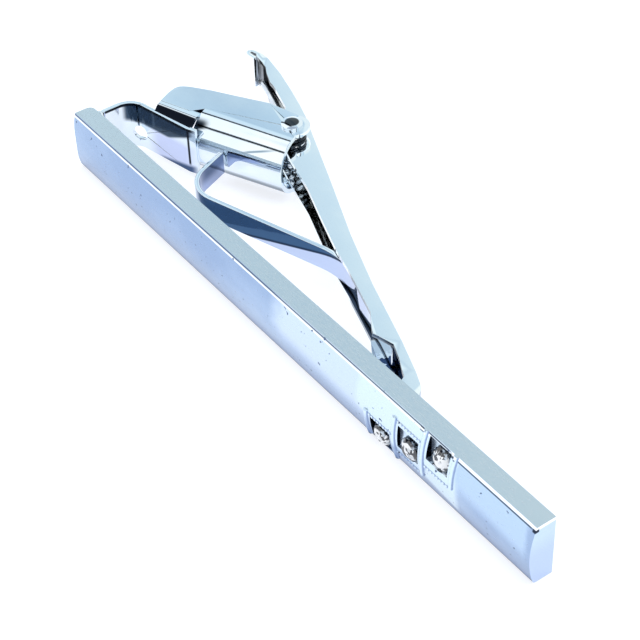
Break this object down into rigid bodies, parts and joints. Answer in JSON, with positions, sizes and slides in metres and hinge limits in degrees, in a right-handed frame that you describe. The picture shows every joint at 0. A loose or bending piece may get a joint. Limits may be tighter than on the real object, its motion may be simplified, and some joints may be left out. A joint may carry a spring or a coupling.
{
  "type": "tie clip",
  "caption": "Chrome tie clip with a crowned bar, clear round stones in square frames, and a sprung clamp arm with a tongue leaf on its back.",
  "frame": {"origin": "centre of the bar's flat back face", "axes": "+X along the bar towards its near end with the stones, +Y out of the bar's back face towards the clamp, +Z along the pivot pin towards its head"},
  "size_m": [0.0583, 0.0189, 0.0057],
  "materials": {
    "bar_chrome": "polished",
    "sheet_chrome": "polished",
    "spring_steel": "bright",
    "stone": "clear"
  },
  "bodies": {
    "base": {"front_bar": "bar_chrome", "stone_low": "stone", "stone_middle": "stone", "stone_high": "stone", "bracket": "sheet_chrome", "pivot_pin": "sheet_chrome", "torsion_spring": "spring_steel"},
    "arm": {"clamp_arm": "sheet_chrome", "tongue_leaf": "sheet_chrome"}
  },
  "joints": [
    {"name": "arm_hinge", "type": "hinge", "parent": "base", "child": "arm", "pos_m": [-0.01645, 0.0116, 0], "axis": [0, 0, 1], "range_deg": [0, 26], "stiffness_Nm_per_rad": 0.02, "springref_deg": -28.65, "deforming": ["torsion_spring"]}
  ]
}
